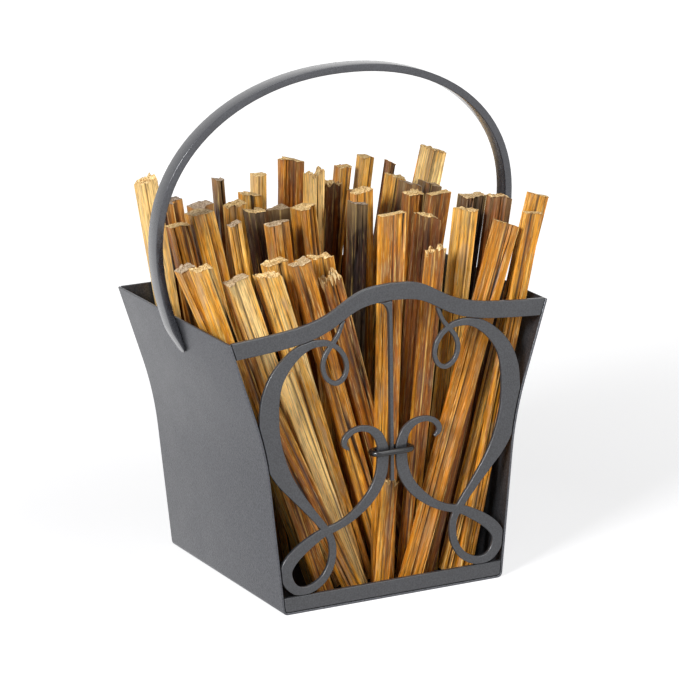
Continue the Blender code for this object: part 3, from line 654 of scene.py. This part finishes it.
def stick_tree():
    """Turns a plain stick into a split one: ledges and cracks along the grain, rough cut ends."""
    tree, given = new_tree("split stick", (
        ("Axis", "Vector", (0, 0, 1)), ("Length", "Float", 0.2), ("Ledge Depth", "Float", 0.0006),
        ("Rib Depth", "Float", 0.00020), ("Crack Depth", "Float", 0.0011), ("Bow", "Float", 0.0004),
        ("Splinter", "Float", 0.001), ("Fuzz", "Float", 0.0004), ("Short", "Float", 0.0),
        ("Tone", "Float", 0.3), ("Figure", "Float", 1.0), ("Age", "Float", 0.0),
        ("Growth", "Vector", (0, 0, 0)), ("Wood", "Material", None)))
    node = partial(add, tree)
    normal = node("GeometryNodeInputNormal")
    straight = node("GeometryNodeInputNamedAttribute", {"Name": "place"}, data_type="FLOAT_VECTOR")
    place = node("ShaderNodeVectorMath", (straight, given["Growth"]), operation="ADD")
    up = node("ShaderNodeSeparateXYZ", (straight,)).outputs["Z"]
    noise = partial(grain_noise, tree, place)

    # The split faces sink in by ledges, ribs and cracks; a crack runs where a slow noise is level
    wide = node("ShaderNodeMapRange", (noise(0.0060, 0.35, 0.0), 0.50, 0.53))
    narrow = node("ShaderNodeMapRange", (noise(0.0036, 0.22, 0.0), 0.56, 0.58, 0.0, 0.6))
    ledge = node("ShaderNodeMath", (wide, narrow), operation="ADD")
    ribs = node("ShaderNodeMapRange", (noise(0.0013, 0.08, 1.0), 0.35, 0.65))
    off_line = node("ShaderNodeMath", (noise(0.0050, 0.5, 0.0), 0.5), operation="SUBTRACT")
    off_line = node("ShaderNodeMath", (off_line,), operation="ABSOLUTE")
    crack = node("ShaderNodeMapRange", (off_line, 0.006, 0.022, 1.0, 0.0))
    in_places = node("ShaderNodeMapRange", (noise(0.012, 0.10, 0.0), 0.44, 0.50))
    crack = node("ShaderNodeMath", (crack, in_places), operation="MULTIPLY")
    upright = node("ShaderNodeVectorMath", (normal, given["Axis"]), operation="DOT_PRODUCT")
    upright = node("ShaderNodeMath", (upright,), operation="ABSOLUTE")
    flank = node("ShaderNodeMapRange", (upright, 0.9, 0.5))
    depth = node("ShaderNodeMath", (ribs, given["Rib Depth"]), operation="MULTIPLY")
    depth = node("ShaderNodeMath", (ledge, given["Ledge Depth"], depth), operation="MULTIPLY_ADD")
    depth = node("ShaderNodeMath", (crack, given["Crack Depth"], depth), operation="MULTIPLY_ADD")
    depth = node("ShaderNodeMath", (depth, flank), operation="MULTIPLY")
    inwards = node("ShaderNodeMath", (depth, -1.0), operation="MULTIPLY")
    push = node("ShaderNodeVectorMath", {0: normal, "Scale": inwards}, operation="SCALE")

    # The whole stick bows a little
    bend = noise(0.2, 0.09, 0.0).outputs["Color"]
    bend = node("ShaderNodeVectorMath", (bend, (0.5, 0.5, 0.5)), operation="SUBTRACT")
    bow = node("ShaderNodeVectorMath", {0: bend, "Scale": given["Bow"]}, operation="SCALE")

    # Its head sinks in by splinters and tufts, the more so the nearer to its top
    torn = node("ShaderNodeMath", (given["Splinter"], 3.0, 0.004), operation="MULTIPLY_ADD")
    torn_from = node("ShaderNodeMath", (given["Length"], torn), operation="SUBTRACT")
    head = node("ShaderNodeMapRange", (up, torn_from, given["Length"]))
    splinters = node("ShaderNodeMapRange", (noise(0.0030, 2.0, 2.0), 0.35, 0.65))
    sink = node("ShaderNodeMath", (splinters, given["Splinter"]), operation="MULTIPLY")
    tufts = noise(0.0009, 2.0, 1.0)
    sink = node("ShaderNodeMath", (tufts, given["Fuzz"], sink), operation="MULTIPLY_ADD")
    sink = node("ShaderNodeMath", (sink, given["Short"]), operation="ADD")
    sink = node("ShaderNodeMath", (sink, head), operation="MULTIPLY")
    down = node("ShaderNodeMath", (sink, -1.0), operation="MULTIPLY")
    fall = node("ShaderNodeVectorMath", {0: given["Axis"], "Scale": down}, operation="SCALE")

    # What the wood's material reads
    worn_from = node("ShaderNodeMath", (given["Length"], WORN_HEAD), operation="SUBTRACT")
    worn = node("ShaderNodeMapRange", (up, worn_from, given["Length"]))
    # crack also marks where the wood's material paints cracks near black as painted shade
    on_flank = node("ShaderNodeMath", (crack, flank), operation="MULTIPLY")
    cut = node("ShaderNodeMath", (upright, 0.6), operation="GREATER_THAN")
    shaped = given["Geometry"]
    for name, kind, domain, value in (("grain", "FLOAT_VECTOR", "POINT", place),
                                      ("crack", "FLOAT", "POINT", on_flank),
                                      ("tone", "FLOAT", "POINT", given["Tone"]),
                                      ("figure", "FLOAT", "POINT", given["Figure"]),
                                      ("age", "FLOAT", "POINT", given["Age"]),
                                      ("near_head", "FLOAT", "POINT", worn),
                                      ("cut_end", "FLOAT", "FACE", cut)):
        stored = {"Geometry": shaped, "Name": name, "Value": value}
        shaped = node("GeometryNodeStoreNamedAttribute", stored, data_type=kind, domain=domain)

    moved = node("ShaderNodeVectorMath", (push, fall), operation="ADD")
    moved = node("ShaderNodeVectorMath", (moved, bow), operation="ADD")
    shaped = node("GeometryNodeSetPosition", {0: shaped, "Offset": moved})
    shaped = node("GeometryNodeSetShadeSmooth", (shaped,), domain="FACE")
    sharp = node("ShaderNodeMath", (node("GeometryNodeInputMeshEdgeAngle"), STICK_SHARP),
                 operation="GREATER_THAN")
    shaped = node("GeometryNodeSetShadeSmooth", (shaped, sharp, False), domain="EDGE")
    shaped = node("GeometryNodeRealizeInstances", (shaped,))
    shaped = node("GeometryNodeSetMaterial", {0: shaped, "Material": given["Wood"]})
    node("NodeGroupOutput", (shaped,))
    return tree


# Tone of each stick, row by row from left to right: 0 is pale sapwood, 1 is black resin wood.
TONES = {
    "front_a": (0.44, 0.38, 0.43, 0.36),
    "front_b": (0.46, 0.02, 0.42, 0.48, 0.60, 0.28),
    "front_c": (0.20, 0.04, 0.18, 0.40, 0.54, 0.18, 0.74),
    "front_d": (0.30, 0.18, 0.38, 0.66, 0.88),
    "rear_e": (0.18, 0.42, 0.96, 0.60),
    "rear_f": (0.54, 0.30, 0.88, 0.42, 0.44, 0.58),
    "rear_g": (0.22, 0.84, 0.06, 0.54, 0.72),
    "rear_h": (0.58, 0.26, 0.64, 0.20, 0.74),
    "rear_j": (0.00, 0.52, 0.68, 0.10, 0.56, 0.40, 0.16, 0.66, 0.04),
}
# Sticks of even wood, and how much of the usual figure they show
PLAIN = {"front_a_3": 0.3, "front_b_2": 0.25, "front_c_6": 0.6, "rear_f_4": 0.6, "rear_g_3": 0.5,
         "rear_j_7": 0.6, "front_d_4": 0.6}
# How deep the torn head of a stick is, in metres, where it is more than a rough saw cut
TORN = {"front_a_2": 0.006, "front_b_4": 0.005, "front_c_3": 0.003, "front_c_5": 0.011,
        "rear_g_3": 0.004, "rear_h_3": 0.004, "rear_j_1": 0.003}
# Sticks that end just under the top rail's edge
SHORT = {"front_b_1": 0.007}
# Sticks whose sawn heads have turned grey, and how far
GREY = {"front_c_2": 0.6, "front_c_4": 0.5, "front_c_7": 0.3, "front_d_1": 0.8, "front_d_5": 0.4,
        "rear_e_1": 0.8, "rear_e_2": 0.7, "rear_e_3": 0.9, "rear_f_2": 0.5, "rear_g_2": 0.7,
        "rear_g_5": 0.9, "rear_h_1": 0.9, "rear_h_5": 0.6, "rear_j_2": 1.0, "rear_j_3": 0.9}


def make_sticks(wood):
    """One split stick in place of each CAD stick, on the load that it lifts out with."""
    tree = stick_tree()
    dice = random.Random(STICK_SEED)
    for node in sorted(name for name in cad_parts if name.startswith("fatwood_")):
        stick = node.removeprefix("fatwood_")
        row, number = stick.rsplit("_", 1)
        rings, axis, side = stick_cage(node)
        foot = sum(rings[0], Vector()) / len(rings[0])
        piece = grown("stick_" + stick, stick_mesh(node, rings, axis, side), tree, {
            "Axis": axis,
            "Length": max((corner - foot).dot(axis) for corner in rings[-1]),
            "Splinter": TORN.get(stick, dice.choice((0.0002, 0.0005, 0.0011))),
            "Short": SHORT.get(stick, 0.0),
            "Tone": TONES[row][int(number) - 1],
            "Figure": PLAIN.get(stick, 1.0),
            "Age": GREY.get(stick, 0.1),
            "Growth": [dice.uniform(0, 2) for part in range(3)],
            "Wood": wood})
        finished(piece, node, row.split("_")[0] + "_load", wood)


# The whole object

def main():
    """Camera, studio and the finished pieces."""
    place_camera()
    make_studio()
    sheet_paint = textured_paint("textured_powder_coat_on_steel", "#505155", flake=0.8, clear=0.1,
                                 roughness=0.36, grit=0.0009, depth=0.00030)
    grille_paint = textured_paint("textured_powder_coat_on_plate", "#37383B", flake=0.30,
                                  clear=0.45, roughness=0.40, grit=0.0009, depth=0.00035)
    wire_paint = textured_paint("gloss_black_paint_on_wire", "#0E0E10", flake=0.0, clear=0.0,
                                roughness=0.20, grit=0.0015, depth=0.00003)
    bar_paint = textured_paint("satin_powder_coat_on_bar", "#34353A", flake=0.35, clear=0.8,
                               roughness=0.27, grit=0.0008, depth=0.00012)
    make_bent_piece("body_shell", SHEET_EASE, SHEET_CORNER, sheet_paint)
    make_bent_piece("back_panel", SHEET_EASE, SHEET_CORNER, sheet_paint)
    make_bent_piece("handle", HANDLE_EASE, BAR_CORNER, bar_paint)
    make_bent_piece("collar", WIRE_EASE, WIRE_CORNER, wire_paint)
    for node in ("top_rail", "bottom_rail", "scroll_left", "scroll_right", "center_bar"):
        make_plate(node, PLATE_EASE, grille_paint)
    make_sticks(split_pine())
    bpy.context.scene.view_settings.view_transform = "Standard"


main()
